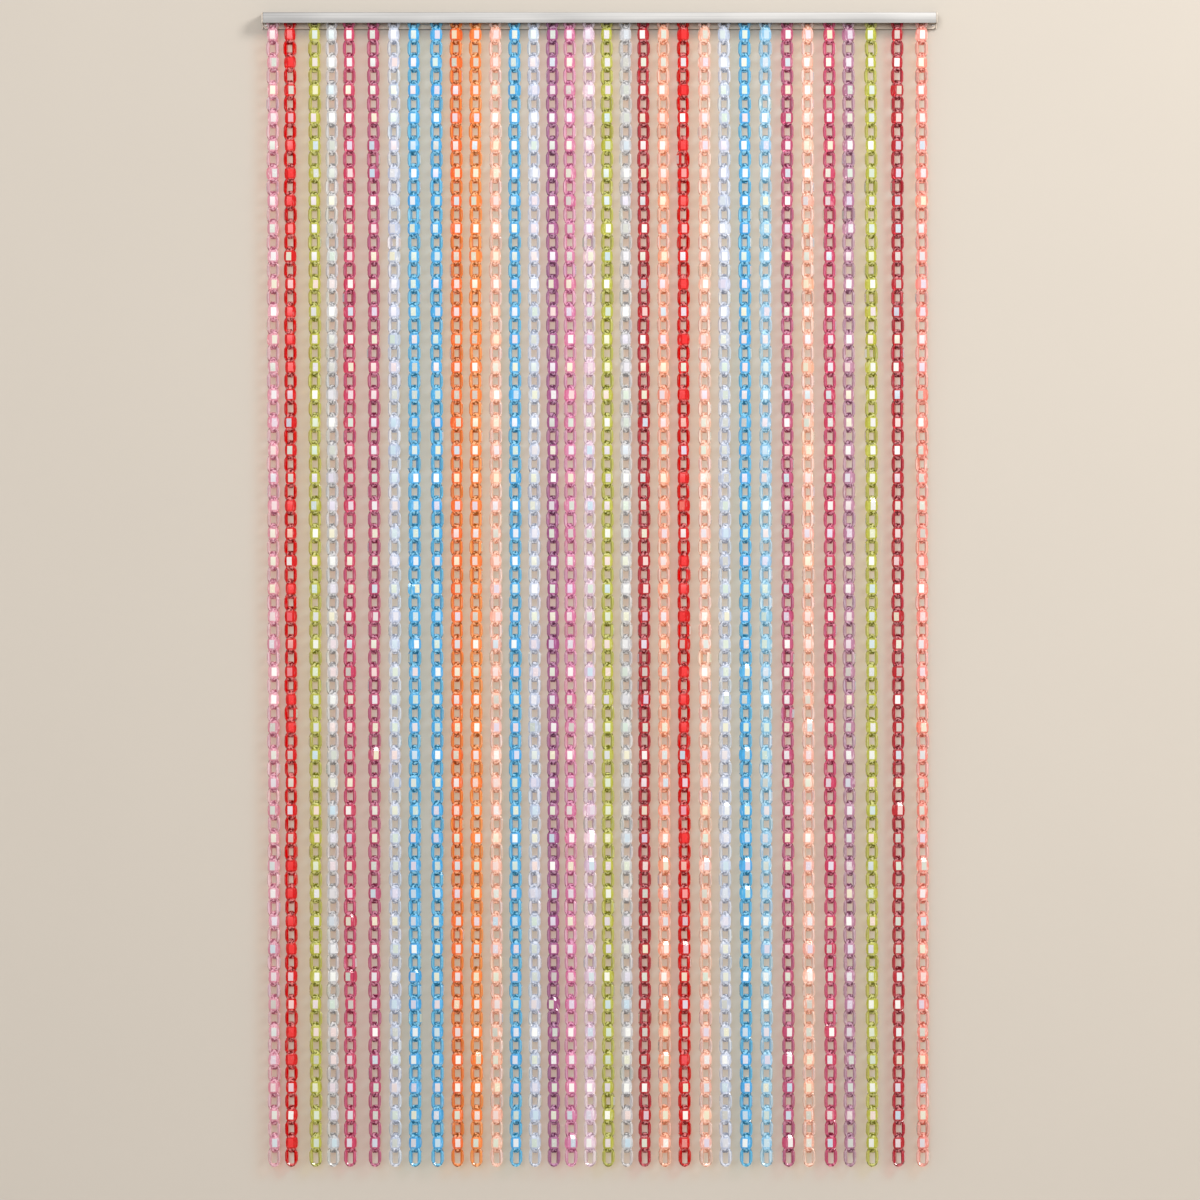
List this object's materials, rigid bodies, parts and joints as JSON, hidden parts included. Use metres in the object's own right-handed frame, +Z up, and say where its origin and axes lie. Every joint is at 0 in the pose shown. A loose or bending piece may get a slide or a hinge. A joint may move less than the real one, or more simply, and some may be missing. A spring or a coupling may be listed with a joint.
{
  "type": "bead curtain with rail",
  "caption": "Doorway curtain of hanging translucent plastic chain strands in mixed bright colours, carried by a short aluminium channel rail.",
  "frame": {"origin": "centre of the rail's flat back face, which goes against the wall", "axes": "+Z up; +X along the rail, to the right for someone facing the curtain; +Y into the wall, so the front faces -Y"},
  "size_m": [1.053, 0.03, 1.8],
  "materials": {
    "aluminium": "satin, brushed along its length",
    "clear": "clear, glossy",
    "steel": "polished",
    "link_rose": "translucent, glossy, faintly iridescent",
    "link_red": "translucent, glossy, faintly iridescent",
    "link_lime": "translucent, glossy, faintly iridescent",
    "link_crystal": "translucent, glossy, faintly iridescent",
    "link_raspberry": "translucent, glossy, faintly iridescent",
    "link_mauve": "translucent, glossy, faintly iridescent",
    "link_ice": "translucent, glossy, faintly iridescent",
    "link_sky": "translucent, glossy, faintly iridescent",
    "link_orange": "translucent, glossy, faintly iridescent",
    "link_amber": "translucent, glossy, faintly iridescent",
    "link_peach": "translucent, glossy, faintly iridescent",
    "link_plum": "translucent, glossy, faintly iridescent",
    "link_pink": "translucent, glossy, faintly iridescent",
    "link_blush": "translucent, glossy, faintly iridescent",
    "link_ruby": "translucent, glossy, faintly iridescent",
    "link_apricot": "translucent, glossy, faintly iridescent",
    "link_azure": "translucent, glossy, faintly iridescent",
    "link_violet": "translucent, glossy, faintly iridescent",
    "link_coral": "translucent, glossy, faintly iridescent"
  },
  "bodies": {
    "root": {"rail": "aluminium", "carrier_strip": "clear", "end_cap_left": "clear", "end_cap_right": "clear", "rivet_left": "steel", "rivet_right": "steel", "strand_01": "link_rose", "strand_02": "link_red", "strand_03": "link_lime", "strand_04": "link_crystal", "strand_05": "link_raspberry", "strand_06": "link_mauve", "strand_07": "link_ice", "strand_08": "link_sky", "strand_09": "link_sky", "strand_10": "link_orange", "strand_11": "link_amber", "strand_12": "link_peach", "strand_13": "link_sky", "strand_14": "link_ice", "strand_15": "link_plum", "strand_16": "link_pink", "strand_17": "link_blush", "strand_18": "link_lime", "strand_19": "link_crystal", "strand_20": "link_ruby", "strand_21": "link_apricot", "strand_22": "link_red", "strand_23": "link_peach", "strand_24": "link_ice", "strand_25": "link_sky", "strand_26": "link_azure", "strand_27": "link_mauve", "strand_28": "link_peach", "strand_29": "link_raspberry", "strand_30": "link_violet", "strand_31": "link_lime", "strand_32": "link_ruby", "strand_33": "link_coral"}
  },
  "joints": []
}
